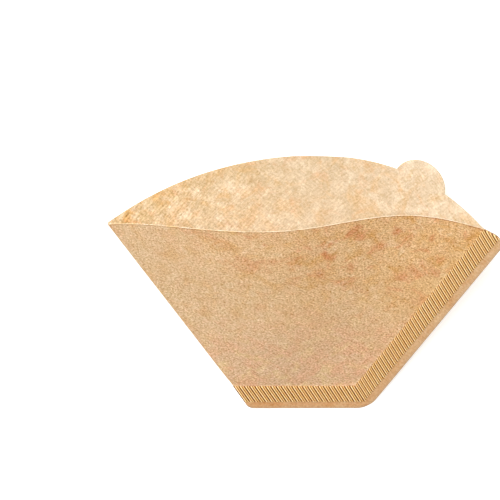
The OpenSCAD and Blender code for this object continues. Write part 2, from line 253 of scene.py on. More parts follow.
def seamLines(p, f, seam):
    # the strip's lines up the seam and past the mouth, closer by a sine towards the tip. Past the mouth they
    # begin on its arc or on the tip's circle, and they end on the seam's edge or on the circles at its ends
    tipRound = insetFromSeam(f, p["tipR"], f.mouthR - p["tipR"])
    tipOnMouth = f.mouthCentre + (tipRound - f.mouthCentre) * f.mouthR / (f.mouthR - p["tipR"])

    def stripAlong(q):
        return (q - f.innerCorner) @ f.alongSeam + (q - f.innerCorner) @ f.outOfSeam / math.tan(f.mitre)

    tipEnd = stripAlong(tipRound) + p["tipR"] / math.sin(f.mitre)
    tipEndOut = f.seamW - p["tipR"] + p["tipR"] * math.cos(f.mitre)
    tip = f.seamLen + (tipEnd - f.seamLen) * np.sin(np.linspace(0, math.pi / 2, p["tipLines"] + 1))[1:]
    along = np.concatenate([seam, tip])
    start = f.innerCorner + f.alongSeam * along[:, None]
    step = np.broadcast_to(f.mitreStep, start.shape)
    begins = np.where(along < stripAlong(tipOnMouth), meets(start, step, f.mouthCentre, f.mouthR, -1),
                      meets(start, step, tipRound, p["tipR"], -1))
    begins = np.where(along > f.seamLen + tiny, begins, 0)
    ends = np.where(along < p["seamCornerR"] / math.tan(f.mitre),
                    meets(start, step, f.seamRound, p["seamCornerR"], 1),
                    np.where(along > stripAlong(tipRound) + p["tipR"] / math.tan(f.mitre),
                             meets(start, step, tipRound, p["tipR"], 1), f.seamW))
    begins[-1] = ends[-1] = tipEndOut
    return start, step, begins, ends, along


def stripLines(p, f, colShare, rowShare):
    # the fine lines across the crimped strip: along the bottom, round the mitred corner, up the seam and past
    # the mouth to the tip. A point of a line is start + step x distance out, from where its paper begins to
    # where it ends
    bottom = finer(colShare, p["linesPerColumn"])
    seam = finer(rowShare, p["linesPerRow"])[1:] * f.seamLen
    start, step, begins, ends, along = [
        np.concatenate(parts) for parts in zip(bottomLines(p, f, bottom), seamLines(p, f, seam))]
    corner = len(bottom) - 1
    return SimpleNamespace(start=start, step=step, begins=begins, ends=ends, along=along,
                           corner=corner, mouth=corner + len(seam), last=len(along) - 1)


def seamCurve(p, f, along):
    # from the corner up the seam: the flat direction at first, the opened one after a few millimetres,
    # flat a + (opened - flat) a (1 - e^(-a/r))
    soft = 1 - np.exp(-np.maximum(along, 0) / p["softCorner"])
    flat3 = np.array([f.alongSeam[0], f.alongSeam[1], 0])
    return flat3 * along[..., None] + (f.seamDir - flat3) * (along * soft)[..., None]


def stripNormal(p, f, along):
    # across the mitre's direction and the seam curve's slope,
    # flat + (opened - flat) (1 - e^(-a/r) + a/r e^(-a/r))
    r = p["softCorner"]
    up = np.maximum(along, 0)
    slope = 1 - np.exp(-up / r) + up / r * np.exp(-up / r)
    flat3 = np.array([f.alongSeam[0], f.alongSeam[1], 0])
    return unit(np.cross(f.mitreVector, flat3 + (f.seamDir - flat3) * slope[..., None]))


def crimpHeight(p, along):
    # one pitch of the ribs, 0 at the deep groove and 1 at the first ridge: two ridges with a shallow groove
    # d high between them, 1/2 + d/4 - d/2 cos a - (1/2 - d/4) cos 2a, times 1 - e + e sin a, which makes the
    # second ridge lower
    a = 2 * math.pi * along / np.where(along > 0, p["seamPitch"], p["crimpPitch"])
    deep, fall = p["deepGroove"], p["ridgeFall"]
    even = 0.5 + deep / 4 - deep / 2 * np.cos(a) - (0.5 - deep / 4) * np.cos(2 * a)
    return even * (1 - fall + fall * np.sin(a))


def risenShare(p, lines, out):
    # how far the ribs have risen over a ramp from the edges that bound them: the strip's inner line, the fold
    # and the mouth's cut
    fromFold = (lines.along - lines.along[0])[:, None]
    return smooth((out - lines.begins[:, None]) / p["crimpRamp"]) * smooth(fromFold / p["crimpRamp"])


def gridFaces(rows, cols):
    # two triangles to each cell of a grid of points counted row by row
    i, j = np.meshgrid(np.arange(rows - 1), np.arange(cols - 1), indexing="ij")
    a = (i * cols + j).ravel()
    return np.concatenate([np.stack([a, a + cols, a + cols + 1], 1), np.stack([a, a + cols + 1, a + 1], 1)])


def zipFaces(coarse, fine):
    # triangles between an edge of few points and one that has several to each of its steps
    per = (len(fine) - 1) // (len(coarse) - 1)
    half = per // 2
    step = np.arange((len(coarse) - 1) * per)
    hub = coarse[step // per + (step % per >= half)]
    middle = np.arange(len(coarse) - 1)
    return np.concatenate([np.stack([hub, fine[step], fine[step + 1]], 1),
                           np.stack([coarse[middle], fine[middle * per + half], coarse[middle + 1]], 1)])


class Sheet:
    # gathers patches of points, each with its place on the opened-out sheet and its marks, and triangles
    # between them. The marks are the rib's height, and how far a point is in the ribbed band and on the rim
    def __init__(self, f):
        self.f, self.count = f, 0
        self.points, self.flats, self.faces, self.finish = [], [], [], []
        self.marks = {"rib": [], "band": [], "rim": []}

    def add(self, points, flats, marks=None):
        # a patch of points of any shape: gives their numbers in the same shape
        shape = points.shape[:-1]
        self.points.append(points.reshape(-1, 3))
        self.flats.append(np.broadcast_to(flats, shape + (2,)).reshape(-1, 2))
        for name, values in self.marks.items():
            values.append(np.broadcast_to(marks[name] if marks else 0.0, shape).ravel())
        numbers = np.arange(self.count, self.count + math.prod(shape)).reshape(shape)
        self.count += math.prod(shape)
        return numbers

    def join(self, faces, slot):
        # triangles of one finish
        self.faces.append(faces)
        self.finish.append(np.full(len(faces), finishSlots.index(slot)))

    def grid(self, numbers, slot):
        # a whole grid of one finish
        self.join(numbers.ravel()[gridFaces(*numbers.shape)], slot)

    def unfolded(self, flat):
        # the rear panel's place on the opened-out sheet: mirrored over the fold line, 2 (r . a) a - r
        along = np.array([-self.f.alongSeam[0], self.f.alongSeam[1]])
        rel = flat - self.f.foldCorner
        return self.f.foldCorner + 2 * (rel @ along)[..., None] * along - rel


def crossNormals(grid):
    # across times up, by differences between neighbours
    return unit(np.cross(np.gradient(grid, axis=0), np.gradient(grid, axis=1)))


def ruled(foot, top, share):
    # straight lines from the strip up to the mouth: foot (1 - v) + top v
    v = share[None, :, None]
    return foot[:, None] * (1 - v) + top[:, None] * v


def partLayers(p, f, front, back, flat, rowShare):
    # beside the strip both layers leave its plane slowly, by 1 - e^(-d/r), and follow its curve round the
    # corner, which dies away by e^(-d/2r)
    toBottom = np.maximum(flat[..., 1] - f.seamW, 0)
    toSeam = np.maximum((f.innerCorner - flat) @ f.outOfSeam, 0)
    toFold = np.maximum((flat - f.foldCorner) @ f.alongSeam[::-1], 0)
    drift = seamCurve(p, f, rowShare * f.seamLen) - f.seamDir * (rowShare * f.seamLen)[:, None]
    follow = drift * np.exp(-toSeam / (2 * p["softCorner"]))[..., None]
    stay = np.exp(-toSeam / p["softSeam"]) * (1 - np.exp(-toBottom / p["softCorner"]))
    inside = np.minimum(np.minimum(toBottom, toSeam), toFold)
    hair = p["hairGap"] * (1 - np.exp(-inside / p["hairReach"]))
    parted = []
    for panel, gap in ((front, hair), (back, 0)):
        panel = panel.copy()
        panel[..., 2] *= 1 - np.exp(-toBottom / p["softSeam"])
        away = (panel - f.cornerPoint) @ f.seamNormal
        panel += follow - f.seamNormal * (away * stay)[..., None]
        panel[..., 2] = np.maximum(panel[..., 2], 0) + gap
        parted.append(panel)
    return parted


def roundFold(p, front, back):
    # near the fold each panel is drawn inwards by (c/2)(1 - s/r)^2 r, which brings the two slopes square to
    # the line between them, and by a layer more, fading over three, so that the outer skin ends on that line
    tip = front[0].copy()
    inward = unit(unit(front[p["foldSide"]] - tip) + unit(back[p["foldSide"]] - tip))
    for panel in (front, back):
        s = np.linalg.norm(panel - tip, axis=-1)
        lean = (unit(panel[p["foldSide"]] - tip) * inward).sum(-1)
        reach = p["foldNose"] * np.sqrt(np.maximum(1 - lean ** 2, 0.01))
        nose = reach * lean / 2 * np.clip(1 - s / reach, 0, 1) ** 2
        layer = p["paperT"] * np.clip(1 - s / (3 * p["paperT"]), 0, 1) ** 2
        panel += inward * (nose + layer)[..., None]
    return inward


def unevenness(p, flat, colShare, rowShare):
    # slow waves of a few centimetres, the sum of s sin(x/a + y/b + phase), none at the fold, seam and bottom
    wave = sum(share * np.sin(flat[..., 0] / across + flat[..., 1] / up + phase)
               for share, across, up, phase in p["wobbleWaves"])
    sides = smooth(colShare / p["wobbleRise"]) * smooth((1 - colShare) / p["wobbleRise"])
    return p["wobble"] * wave * sides[:, None] * smooth(rowShare / p["wobbleLift"])


def openPanels(p, f):
    # both panels' inner faces, their outward normals and their places on the flat pattern. Columns crowd at
    # the fold and the seam, rows at the bottom and the mouth, where the paper turns most
    colShare = crowded(p["columns"], *p["columnCrowd"])
    rowShare = crowded(p["rows"], *p["rowCrowd"])
    middle = 1 - p["tabFromSeam"] / f.arcLen
    tabEnds = middle + np.array([-1, 1]) * p["tabW"] / 2 / f.arcLen
    tabCols = [int(np.abs(colShare - end).argmin()) for end in tabEnds]
    mouthU = np.interp(colShare, [0, *colShare[tabCols], 1], [0, *tabEnds, 1])
    footX = f.innerFold[0] + f.bottomLen * colShare
    footY = np.full_like(footX, f.seamW)
    flat = ruled(np.stack([footX, footY], -1), flatMouth(f, mouthU), rowShare)
    foot = np.stack([footX, footY, 0 * footX], -1)
    front = ruled(foot, layDown(f, frontEdge(p, f, mouthU, colShare)), rowShare)
    back = ruled(foot, layDown(f, backEdge(p, f, mouthU, colShare)), rowShare)
    back[..., 2] = np.maximum(0, back[..., 2] - p["settle"] * rowShare * np.sin(math.pi * colShare)[:, None])
    front, back = partLayers(p, f, front, back, flat, rowShare)
    front += crossNormals(front) * unevenness(p, flat, colShare, rowShare)[..., None]
    inward = roundFold(p, front, back)
    front[:, 0] = back[:, 0]
    front[-1] = back[-1]
    frontNormal, backNormal = crossNormals(front), -crossNormals(back)
    frontNormal[0] = backNormal[0] = -inward
    return SimpleNamespace(
        front=front, back=back, frontNormal=frontNormal, backNormal=backNormal, flat=flat,
        colShare=colShare, rowShare=rowShare, mouthU=mouthU, tabCols=tabCols, tabMiddle=middle)


def crimpedStrip(p, f, lines):
    # both faces of the strip as functions of the line and of the distance out: its middle, lifted by the
    # ribs, and a layer to each side, rounded off at the fold by t sqrt(1 - (1 - s/2t)^2)
    w, c, ramp, t = f.seamW, p["crimpW"], p["crimpRamp"], p["paperT"]
    levels = np.concatenate([
        np.linspace(0, ramp, p["rampSteps"] + 1),
        np.linspace(ramp, c - ramp / 2, p["bandSteps"] + 1)[1:],
        np.linspace(c - ramp / 2, c + ramp / 2, p["rampSteps"] + 1)[1:],
        c + np.array(p["marginLevels"]), w - np.array(p["rimLevels"])])
    out = np.clip(levels[None], lines.begins[:, None], lines.ends[:, None])
    flat = lines.start[:, None] + lines.step[:, None] * out[..., None]
    onBottom = np.concatenate([flat, 0 * out[..., None]], -1)
    onSeam = f.cornerPoint + f.mitreVector * out[..., None] / w + seamCurve(p, f, lines.along)[:, None]
    mid = np.where((np.arange(len(flat)) <= lines.corner)[:, None, None], onBottom, onSeam)
    normal = stripNormal(p, f, lines.along)[:, None]
    fromFold = lines.along[:, None] + f.bottomLen
    rib = crimpHeight(p, lines.along)[:, None]
    # past the band, which fades over a ramp, a ripple of the ribs dies away in the margin
    band = 1 - smooth((out - c) / ramp + 0.5)
    ripple = p["marginRipple"] * np.exp(-np.maximum(out - c, 0) / p["rippleFade"]) * smooth(out / c * 2 - 1)
    lift = p["crimpH"] * rib * np.maximum(band, ripple) * risenShare(p, lines, out)
    thick = t * np.sqrt(1 - (1 - np.clip(fromFold / (2 * t), 0, 1)) ** 2)
    front = mid + normal * (lift + thick)[..., None]
    back = mid + normal * (lift - thick)[..., None]
    back[..., 2] = np.maximum(back[..., 2], -t)
    # the rim mark rises to 1 at the outline, where the crimp's colour takes a painted shade
    return SimpleNamespace(front=front, back=back, flat=flat, normal=normal, marks={
        "rib": rib, "band": band, "rim": smooth((out - lines.ends[:, None]) / p["outlineShadeW"] + 1)})


def cutEdge(p, outer, inner, outwards):
    # the rounded cut edge of one layer: outer side, the middle pushed out by the bulge, inner side
    bulge = p["edgeBulge"] * p["paperT"]
    return np.stack([outer, (outer + inner) / 2 + outwards * bulge, inner])


def restingPattern(p):
    # the flat pattern with what opening it adds: the angle atan2(back, up) at which the lowest of the rear
    # panel's lines lies on the table, and where the strip's corner, its seam and its mitre run from there
    f = flatPattern(p)
    u = np.linspace(0, 1, p["restLines"])
    free = backEdge(p, f, u, u)
    f.layAngle = float(np.arctan2(free[:, 1], free[:, 2]).max())
    f.foldTip = free[0, 0]
    f.cornerPoint = np.array([f.innerCorner[0], f.seamW, 0])
    f.seamDir = unit(layDown(f, backEdge(p, f, np.array(1.0), np.array(1.0))) - f.cornerPoint)
    f.mitreVector = np.array([f.seamCorner[0] - f.innerCorner[0], -f.seamW, 0])
    f.seamNormal = unit(np.cross(f.mitreVector, f.seamDir))
    return f


def addInside(p, sheet, panels):
    # the two inner faces, which share the fold, the seam and the bottom line. Towards the seam their cells
    # are cut the other way, so that no cut joins two shared points. Gives the rear face's numbers
    half = p["columns"] // 2
    for face, flat in ((panels.front, panels.flat), (panels.back, sheet.unfolded(panels.flat))):
        numbers = sheet.add(face, flat)
        sheet.grid(numbers[:half + 1], "inner")
        sheet.grid(numbers[half:, ::-1], "inner")
    return numbers


def addOutside(p, sheet, panels, lines, strip, face):
    # one outer skin, inner face + normal t, with its side of the strip: the skin's free rows and columns,
    # then zips to the strip's fine lines. Gives the cut edge of that panel's mouth
    inner, normal, stripFace = getattr(panels, face), getattr(panels, face + "Normal"), getattr(strip, face)
    stripFlat, flat = strip.flat, panels.flat
    if face == "back":
        stripFlat, flat = sheet.unfolded(stripFlat), sheet.unfolded(flat)
    skin = inner + normal * p["paperT"]
    skin[..., 2] = np.maximum(skin[..., 2], -p["paperT"])
    skin[-1, -1] = stripFace[lines.mouth, 0]
    stripNo = sheet.add(stripFace, stripFlat, strip.marks)
    skinNo = sheet.add(skin, flat)
    sheet.grid(stripNo, "crimp")
    sheet.grid(skinNo[:-1, 1:], "outer")
    edge = stripNo[:, 0]
    first, last = lines.corner - p["linesPerColumn"], lines.corner + p["linesPerRow"]
    corner = edge[first:last + 1]
    sheet.join(zipFaces(skinNo[:-1, 1], edge[:first + 1]), "outer")
    sheet.join(zipFaces(skinNo[-2, 1:], edge[last:lines.mouth + 1]), "outer")
    sheet.join(np.stack([np.full(len(corner) - 1, skinNo[-2, 1]), corner[:-1], corner[1:]], 1), "outer")
    return cutEdge(p, skin[:, -1], inner[:, -1], unit(inner[:, -1] - inner[:, -2]))


def addOutlineEdge(p, sheet, panels, lines, strip, frontRim, backRim):
    # the outline's cut edge, down from the fold, round both corners and the tip, and back to the mouth: two
    # rounded layers, at a quarter and three quarters of the way, with a fine groove between them
    k = np.concatenate([np.arange(lines.last + 1), np.arange(lines.last - 1, lines.mouth - 1, -1)])
    level = np.where(np.arange(len(k)) <= lines.last, -1, 0)
    a, b = strip.front[k, level], strip.back[k, level]
    apart = np.linalg.norm(a - b, axis=-1, keepdims=True) / (2 * p["paperT"])
    outwards = unit(np.cross(np.gradient((a + b) / 2, axis=0), strip.normal[k, 0])) * apart
    bulge = outwards * (p["edgeBulge"] * p["paperT"])
    edge = np.stack([a, 0.75 * a + 0.25 * b + bulge, (a + b) / 2 - bulge * 2, 0.25 * a + 0.75 * b + bulge, b])
    edge[1:4, -1] = frontRim[1, -1], panels.front[-1, -1], backRim[1, -1]
    sheet.grid(sheet.add(edge, strip.flat[k, level]), "cut")


def addTab(p, sheet, panels, backRim, backIn):
    # the round tab: a segment of a circle over its foot, carried on along the rear panel's lines,
    # height = w (R cos a - R + h) at R sin a from the middle
    first, last = panels.tabCols
    radius = ((p["tabW"] / 2) ** 2 + p["tabH"] ** 2) / (2 * p["tabH"])
    sweep = math.atan2(p["tabW"] / 2, radius - p["tabH"])
    a = np.linspace(-sweep, sweep, p["tabFans"] * (last - first) + 1)
    u = panels.tabMiddle + radius * np.sin(a) / sheet.f.arcLen
    height = radius * np.cos(a) - radius + p["tabH"]
    w = np.array(p["tabLevels"])[:, None]

    def along(values):
        return np.stack([np.interp(u, panels.mouthU, values[:, n]) for n in range(values.shape[-1])], -1)

    rise = unit(along(panels.back[:, -1] - panels.back[:, -2]))
    flatRise = unit(along(panels.flat[:, -1] - panels.flat[:, -2]))
    normal = along(panels.backNormal[:, -1])
    inner = along(panels.back[:, -1]) + rise * (height * w)[..., None]
    inner[..., 2] = np.maximum(0, inner[..., 2])
    outer = inner + normal * p["paperT"]
    inner[:, 0], inner[:, -1] = panels.back[first, -1], panels.back[last, -1]
    outer[:, 0], outer[:, -1] = backRim[0, first], backRim[0, last]
    flat = sheet.unfolded(along(panels.flat[:, -1]) + flatRise * (height * w)[..., None])
    foot = sheet.add(backRim[0, first:last + 1], sheet.unfolded(panels.flat[first:last + 1, -1]))
    for points, base, slot in ((inner, backIn[first:last + 1, -1], "inner"), (outer, foot, "outer")):
        numbers = sheet.add(points, flat)
        sheet.join(zipFaces(base, numbers[0]), slot)
        sheet.grid(numbers, slot)
    outwards = unit(np.cross(unit(np.gradient(inner[-1], axis=0)), normal))
    rim = cutEdge(p, outer[-1], inner[-1], outwards * np.sign((outwards * rise).sum(-1).mean()))
    rim[1, 0], rim[1, -1] = backRim[1, first], backRim[1, last]
    sheet.grid(sheet.add(rim, flat[-1]), "cut")


def filterSheet(p):
    # the whole opened filter as patches of one closed sheet, in millimetres
    f = restingPattern(p)
    panels = openPanels(p, f)
    lines = stripLines(p, f, panels.colShare, panels.rowShare)
    strip = crimpedStrip(p, f, lines)
    sheet = Sheet(f)
    backIn = addInside(p, sheet, panels)
    frontRim, backRim = [addOutside(p, sheet, panels, lines, strip, face) for face in ("front", "back")]
    # the mouth's cut edges: the front one has the inner side's paler finish, a painted highlight along the
    # front mouth's edge, and the rear one leaves out the tab
    first, last = panels.tabCols
    top = panels.flat[:, -1]
    sheet.grid(sheet.add(frontRim, top), "inner")
    for part in (slice(0, first + 1), slice(last, None)):
        sheet.grid(sheet.add(backRim[:, part], sheet.unfolded(top[part])), "cut")
    addTab(p, sheet, panels, backRim, backIn)
    addOutlineEdge(p, sheet, panels, lines, strip, frontRim, backRim)
    return sheet


def weld(points, faces):
    # points of different patches at one place become one point, and triangles that this shrinks to a line go
    key = np.round(points / tiny).astype(np.int64)
    _, kept, number = np.unique(key, axis=0, return_index=True, return_inverse=True)
    faces = number.ravel()[faces]
    whole = (faces[:, 0] != faces[:, 1]) & (faces[:, 1] != faces[:, 2]) & (faces[:, 2] != faces[:, 0])
    return kept, faces, whole


def buildPiece(name, sheet, shift, sharpAngle, materials):
    # the welded sheet as one mesh in metres, its UV map the unfolded sheet and its marks as attributes
    points, faces = np.concatenate(sheet.points), np.concatenate(sheet.faces)
    kept, welded, whole = weld(points, faces)
    mesh = bpy.data.meshes.new(name)
    mesh.vertices.add(len(kept))
    mesh.vertices.foreach_set("co", ((points[kept] + shift) * mm).ravel())
    corners = welded[whole]
    mesh.loops.add(corners.size)
    mesh.loops.foreach_set("vertex_index", corners.ravel())
    mesh.polygons.add(len(corners))
    mesh.polygons.foreach_set("loop_start", np.arange(0, corners.size, 3))
    mesh.polygons.foreach_set("material_index", np.concatenate(sheet.finish)[whole])
    flat = np.concatenate(sheet.flats)[faces[whole]].reshape(-1, 2)
    mesh.uv_layers.new(name="unfoldedSheet").data.foreach_set("uv", (flat / uvSpan + 0.5).ravel())
    for label, values in sheet.marks.items():
        mesh.attributes.new(label, "FLOAT", "POINT").data.foreach_set("value", np.concatenate(values)[kept])
    mesh.update(calc_edges=True)
    for material in materials:
        mesh.materials.append(material)
    shape = bmesh.new()
    shape.from_mesh(mesh)
    bmesh.ops.recalc_face_normals(shape, faces=shape.faces)
    if shape.calc_volume(signed=True) < 0:
        bmesh.ops.reverse_faces(shape, faces=shape.faces)
    shape.to_mesh(mesh)
    shape.free()
    mesh.polygons.foreach_set("use_smooth", np.ones(len(mesh.polygons), bool))
    mesh.set_sharp_from_angle(angle=math.radians(sharpAngle))
    piece = bpy.data.objects.new(name, mesh)
    bpy.context.scene.collection.objects.link(piece)
    return piece


def linear(code):
    # an sRGB hex colour as linear red, green, blue and alpha
    values = [int(code[n:n + 2], 16) / 255 for n in (1, 3, 5)]
    return [v / 12.92 if v <= 0.04045 else ((v + 0.055) / 1.055) ** 2.4 for v in values] + [1]


def addNode(tree, kind, sockets, output=0, **settings):
    # a node with its settings; each socket, by name or number, takes a value or another node's output
    node = tree.nodes.new("ShaderNode" + kind)
    for name, value in settings.items():
        setattr(node, name, value)
    for name, value in sockets.items():
        if isinstance(value, bpy.types.NodeSocket):
            tree.links.new(value, node.inputs[name])
        else:
            node.inputs[name].default_value = value
    return node.outputs[output]


# Where the paper's patterns gather: each share rises from 0 at the first distance to 1 at the second, in
# millimetres from the fold line or in from the mouth's edge
shareRanges = {
    "fromFold": {"tip": (15, 105), "fold": (70, 10), "offFold": (25, 75)},
    "fromMouth": {"mouth": (70, 15), "deep": (5, 45), "low": (45, 85), "cut": (0.8, 0)},
}
# Colours of the paper's sides, and the patterns on them. A patch layer turns the paper to its colour by share
# where a cloud of that size in millimetres passes from one level to the other. A grain layer lightens and
# darkens it by depth, drawn out along turn degrees, and hue gives how much red, green and blue change by it,
# so that the paper keeps its own hue. Near names one of the shares above and how strongly the layer gathers
# there. The finest grain is drawn a little coarser than real fibres, to show
paperTones = {
    # creped and warm: rusty clouds by the mouth, pinker and yellower ones low down, and painted shade, a dark
    # brown line just under the front mouth's cut edge
    "outer": {
        "name": "unbleached filter paper, outer side", "byFold": "#d2b28a", "byTip": "#d4ad7a",
        "patches": [
            {"size": 17, "levels": (0.45, 0.68), "share": 0.45, "colour": "#d2b48c", "near": ("mouth", 0.2)},
            {"size": 7, "levels": (0.48, 0.68), "share": 0.68, "colour": "#c6924c", "near": ("mouth", 0.5)},
            {"size": 8, "levels": (0.52, 0.68), "share": 0.85, "colour": "#c68052", "near": ("mouth", 0.86)},
            {"size": 6, "levels": (0.55, 0.72), "share": 0.50, "colour": "#dfcaa6", "near": ("mouth", 0.4)},
            # painted shade: a dark brown line on the outer side, along the front mouth's edge
            {"size": 9, "levels": (0.15, 0.30), "share": 0.60, "colour": "#8c5c34", "near": ("cut", 1.0)},
            {"size": 17, "levels": (0.15, 0.30), "share": 0.62, "colour": "#d3ac8b", "near": ("low", 1.0)},
            {"size": 7, "levels": (0.47, 0.62), "share": 0.50, "colour": "#d8a27e", "near": ("low", 0.8)},
            {"size": 6, "levels": (0.50, 0.64), "share": 0.45, "colour": "#dcc18c", "near": ("low", 0.8)}],
        "grain": [
            {"size": 0.75, "depth": 0.58, "turn": -42, "stretch": 1.1, "near": ("mouth", 0.15)},
            {"size": 2.4, "depth": 0.07, "turn": -42, "stretch": 1.6, "near": ("fold", 0.0)},
            {"size": 5, "depth": 0.04, "turn": -42, "stretch": 1.3, "near": ("fold", 0.0)}],
        "hue": (0.84, 1.20, 1.68),
        "curl": 0.08, "bump": 0.35, "through": 0.4},
    # paler than the outside, partly the paper's own tone and partly painted light, with whitish and ochre
    # clouds by the fold
    "inner": {
        "name": "unbleached filter paper, inner side", "byFold": "#d0ba93", "byTip": "#cdbca2",
        "patches": [
            {"size": 6, "levels": (0.46, 0.62), "share": 0.62, "colour": "#eadfcd", "near": ("fold", 0.45)},
            {"size": 7, "levels": (0.48, 0.64), "share": 0.66, "colour": "#cfa665", "near": ("fold", 0.5)},
            {"size": 5, "levels": (0.55, 0.70), "share": 0.40, "colour": "#d0985f", "near": ("fold", 0.4)},
            # painted light: a pale cream over the inner side deeper in the pouch, lifting the shade under the
            # front panel
            {"size": 17, "levels": (0.15, 0.30), "share": 0.62, "colour": "#f0e6d8", "near": ("deep", 1.0)}],
        "grain": [
            {"size": 0.75, "depth": 0.31, "turn": 32, "stretch": 1.1, "near": ("fold", 0.4)},
            {"size": 0.8, "depth": 0.28, "turn": 18, "stretch": 5, "near": ("fold", 0.6)},
            {"size": 0.8, "depth": 0.18, "turn": -72, "stretch": 4, "near": ("fold", 0.3)},
            {"size": 2.6, "depth": 0.04, "turn": 32, "stretch": 1.5, "near": ("fold", 0.0)}],
        "hue": (0.86, 1.08, 1.45),
        "curl": 0.05, "bump": 0.30, "through": 0.4},
    # pressed firm, so that less light comes through it
    "crimp": {
        "name": "pressed crimps in filter paper", "byFold": "#c4986c", "byTip": "#caa67e",
        "patches": [
            {"size": 9, "levels": (0.48, 0.68), "share": 0.40, "colour": "#bd8446", "near": ("fold", 0.0)},
            {"size": 7, "levels": (0.54, 0.70), "share": 0.35, "colour": "#d6b98e", "near": ("fold", 0.0)}],
        "grain": [
            {"size": 0.85, "depth": 0.26, "turn": -42, "stretch": 1.2, "near": ("fold", 0.0)}],
        "hue": (0.80, 1.22, 1.85),
        "curl": 0.06, "bump": 0.30, "through": 0.15},
    # greyer and darker than the paper's faces
    "cut": {
        "name": "cut edge of filter paper", "byFold": "#a08c72", "byTip": "#a08c72",
        "patches": [
            {"size": 6, "levels": (0.45, 0.70), "share": 0.40, "colour": "#b49c7c", "near": ("fold", 0.0)}],
        "grain": [
            {"size": 0.85, "depth": 0.14, "turn": 0, "stretch": 1.0, "near": ("fold", 0.0)}],
        "hue": (0.80, 1.22, 1.85),
        "curl": 0.0, "bump": 0.20, "through": 0.4},
}
# Curly fibres all over the paper: the size of the curls and how deep the felt is, in millimetres, and how
# much of a cloud's height, 0 to 1, a curl takes up
feltFibres = {"curl": 1.7, "deep": 0.35, "curlShare": 0.14}
# The grooves are burnished dark by the crimping wheel and darkened further with painted shade, and the ridges
# stay pale, brightened with a painted highlight, a little less so in some stretches. Each tone takes its
# share where the rib's height passes from one level to the other
crimpTones = {
    "stretch": {"size": 14, "levels": (0.35, 0.62), "least": 0.85},
    "ribs": [
        {"colour": "#d9ac63", "share": 0.8, "levels": (-1, 0)},          # all over the band
        # painted shade in the grooves, over the paper burnished by the wheel
        {"colour": "#602400", "share": 1.0, "levels": (0.65, 0.18)},     # down in the grooves
        # a painted highlight along the ridges, over the paper's pale tone
        {"colour": "#fcdba8", "share": 0.95, "levels": (0.62, 0.82)}],   # along the ridges
    # painted shade: a grey-brown rim along the outline, where its edge meets the table
    "rim": {"colour": "#a8947c", "share": 0.65},
}


def placeOnSheet(tree, p):
    # where a point q lies on the unfolded sheet in millimetres, and its shares. It is d = n . q + n_x w/2 off
    # the fold line, and q + n (|d| - d) mirrors the rear panel back over that line. From there it is R less
    # the distance from the arc's centre to the mouth
    side = math.radians(p["sideAngle"])
    offLine = (math.sin(side), math.cos(side), 0)
    uv = addNode(tree, "UVMap", {}, uv_map="unfoldedSheet")
    place = addNode(tree, "VectorMath", {0: uv, 1: (uvSpan,) * 3, 2: (-uvSpan / 2, -uvSpan / 2, 0)},
                    operation="MULTIPLY_ADD")
    across = addNode(tree, "VectorMath", {0: place, 1: offLine}, output=1, operation="DOT_PRODUCT")
    across = addNode(tree, "Math", {0: across, 1: p["bottomW"] / 2 * offLine[0]}, operation="ADD")
    fromFold = addNode(tree, "Math", {0: across}, operation="ABSOLUTE")
    onFront = addNode(tree, "Math", {0: across, 1: 0.0}, operation="GREATER_THAN")

    f = flatPattern(p)
    twice = addNode(tree, "Math", {0: fromFold, 1: across}, operation="SUBTRACT")
    folded = addNode(tree, "VectorMath", {0: offLine, 1: twice, 2: place}, operation="MULTIPLY_ADD")
    radius = addNode(tree, "VectorMath", {0: folded, 1: (*f.mouthCentre, 0)}, output=1, operation="DISTANCE")
    fromMouth = addNode(tree, "Math", {0: f.mouthR, 1: radius}, operation="SUBTRACT")

    shares = {}
    for distance, ranges in ((fromFold, shareRanges["fromFold"]), (fromMouth, shareRanges["fromMouth"])):
        for name, (start, end) in ranges.items():
            shares[name] = addNode(tree, "MapRange", {"Value": distance, "From Min": start, "From Max": end})
    # the mouth's share keeps off the fold, the deep one off the tip and the cut edge's off the rear panel.
    # The deep share carries painted light inside the pouch, the cut edge's a painted shade line
    offTip = addNode(tree, "Math", {0: 1.0, 1: shares["tip"]}, operation="SUBTRACT")
    for name, kept in (("mouth", shares["offFold"]), ("deep", offTip), ("cut", onFront)):
        shares[name] = addNode(tree, "Math", {0: shares[name], 1: kept}, operation="MULTIPLY")
    return place, shares


def cloudedColour(tree, tone, place, shares):
    # the colour from fold to tip, then each patch's mixed in by share x cloud x (1 - gather + gather x near)
    colour = addNode(tree, "Mix", {0: shares["tip"], 6: linear(tone["byFold"]), 7: linear(tone["byTip"])},
                     output=2, data_type="RGBA")
    for number, patch in enumerate(tone["patches"]):
        # each cloud is moved on by its number, so that no two have the same shape
        moved = addNode(tree, "VectorMath", {0: place, 1: (31 * number + 7, 17 * number, 5 * number)},
                        operation="ADD")
        cloud = addNode(tree, "TexNoise", {"Vector": moved, "Scale": 1 / patch["size"], "Detail": 4,
                                           "Roughness": 0.55, "Distortion": 0.7})
        low, high = patch["levels"]
        share = addNode(tree, "MapRange", {"Value": cloud, "From Min": low, "From Max": high,
                                           "To Max": patch["share"]})
        where, gather = patch["near"]
        near = addNode(tree, "MapRange", {"Value": shares[where], "To Min": 1 - gather})
        share = addNode(tree, "Math", {0: share, 1: near}, operation="MULTIPLY")
        colour = addNode(tree, "Mix", {0: share, 6: colour, 7: linear(patch["colour"])}, output=2,
                         data_type="RGBA")
    return colour


